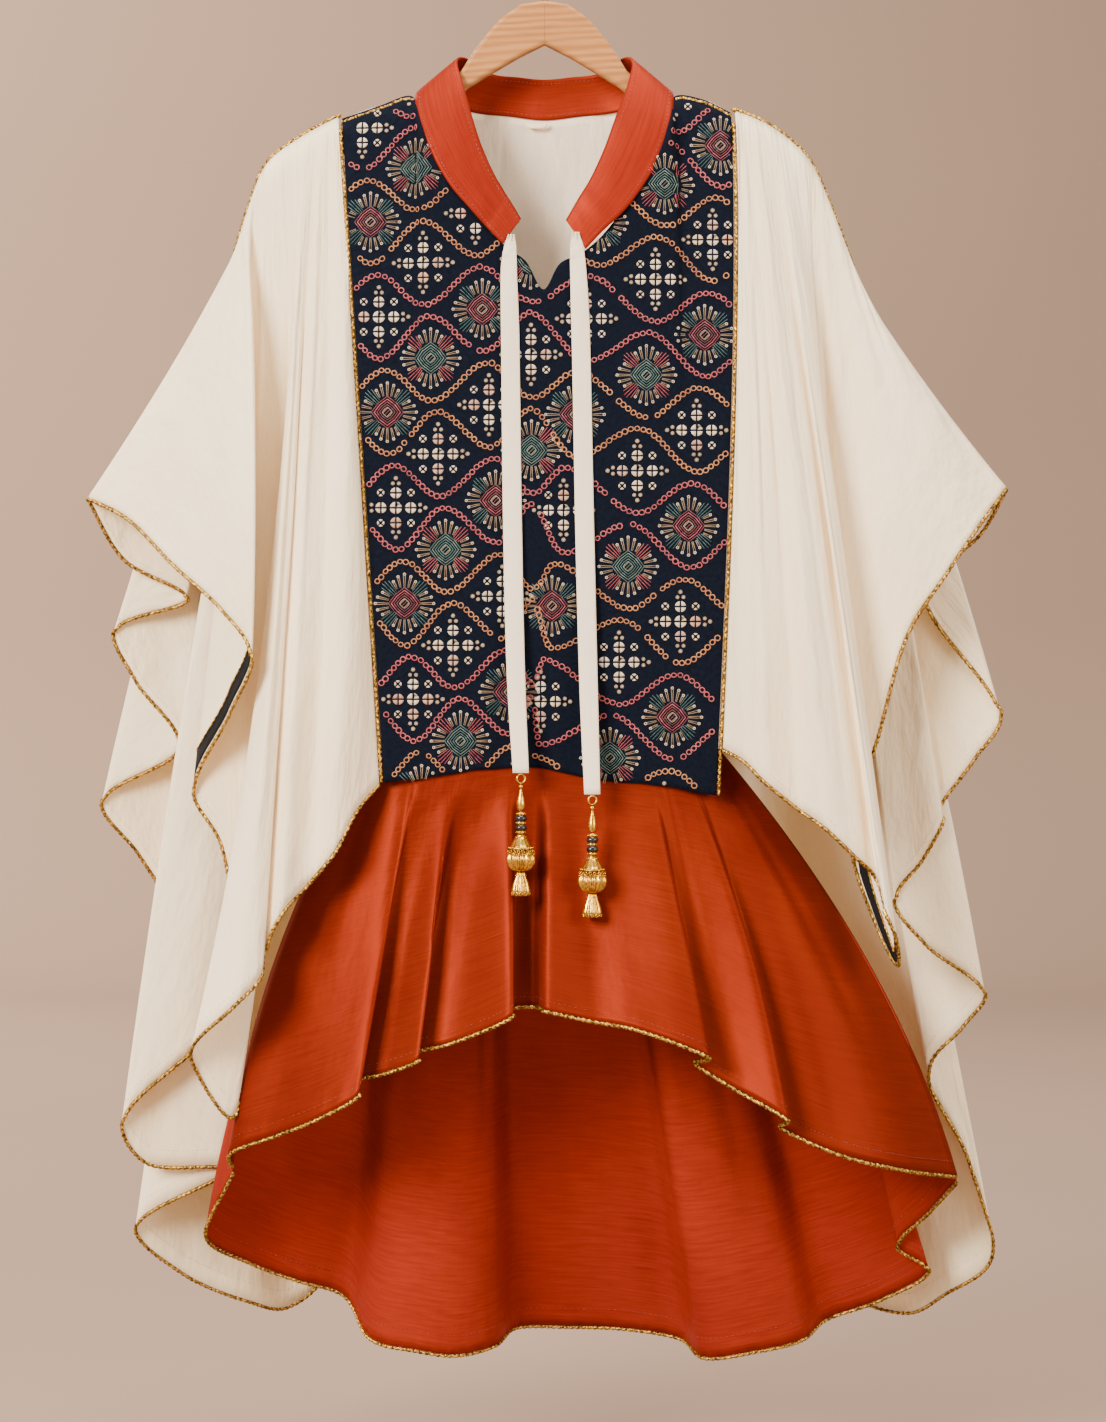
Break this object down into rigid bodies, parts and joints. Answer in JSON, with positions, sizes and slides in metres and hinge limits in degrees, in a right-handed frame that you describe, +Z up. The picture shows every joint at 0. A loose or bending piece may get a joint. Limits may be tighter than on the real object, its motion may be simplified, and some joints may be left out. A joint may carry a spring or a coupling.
{
  "type": "high-low tunic on a wooden hanger",
  "caption": "Loose tunic with an embroidered front panel, orange collar and flared high-low skirt, cream cape sleeves, ribbon ties with bead pendants, hung on a wooden hanger.",
  "frame": {"origin": "inside top of the hanger's hook, where it hangs on a rail", "axes": "+Z up, the garment's front faces -Y, +X to the viewer's right"},
  "size_m": [0.7753, 0.2808, 1.2217],
  "materials": {
    "navy_embroidery": "embroidered cotton",
    "cream_cloth": "soft cotton silk",
    "orange_silk": "raw silk, sheen",
    "gold_trim": "metallic braid",
    "wood": "satin beech",
    "steel": "polished wire",
    "brass_beads": "antique metal beads",
    "black_beads": "glossy rondelles"
  },
  "bodies": {
    "tunic": {"back_bodice": "cream_cloth", "collar": "orange_silk", "hanger_hook": "steel", "hanger_wood": "wood", "panel_front": "navy_embroidery", "panel_piping_left": "gold_trim", "panel_piping_right": "gold_trim", "shoulder_piping_left": "gold_trim", "shoulder_piping_right": "gold_trim", "skirt_back": "orange_silk", "skirt_back_hem_piping": "gold_trim", "skirt_front": "orange_silk", "skirt_front_hem_piping": "gold_trim", "tie_left": "cream_cloth", "tie_right": "cream_cloth", "wing_back_left": "cream_cloth", "wing_back_left_hem_piping": "gold_trim", "wing_back_right": "cream_cloth", "wing_back_right_hem_piping": "gold_trim", "wing_front_left": "cream_cloth", "wing_front_left_hem_piping": "gold_trim", "wing_front_right": "cream_cloth", "wing_front_right_hem_piping": "gold_trim"},
    "pendant_left": {"pendant_left_beads": "black_beads", "pendant_left_bell": "brass_beads", "pendant_left_cap": "brass_beads", "pendant_left_drop": "brass_beads", "pendant_left_loop": "brass_beads", "pendant_left_melon": "brass_beads"},
    "pendant_right": {"pendant_right_beads": "black_beads", "pendant_right_bell": "brass_beads", "pendant_right_cap": "brass_beads", "pendant_right_drop": "brass_beads", "pendant_right_loop": "brass_beads", "pendant_right_melon": "brass_beads"}
  },
  "joints": [
    {"name": "pendant_left_swing", "type": "hinge", "parent": "tunic", "child": "pendant_left", "pos_m": [-0.0195, -0.055, -0.7082], "axis": [-1, 0, 0], "range_deg": [0, 80]},
    {"name": "pendant_right_swing", "type": "hinge", "parent": "tunic", "child": "pendant_right", "pos_m": [0.0394, -0.058, -0.7258], "axis": [-1, 0, 0], "range_deg": [0, 80]}
  ]
}
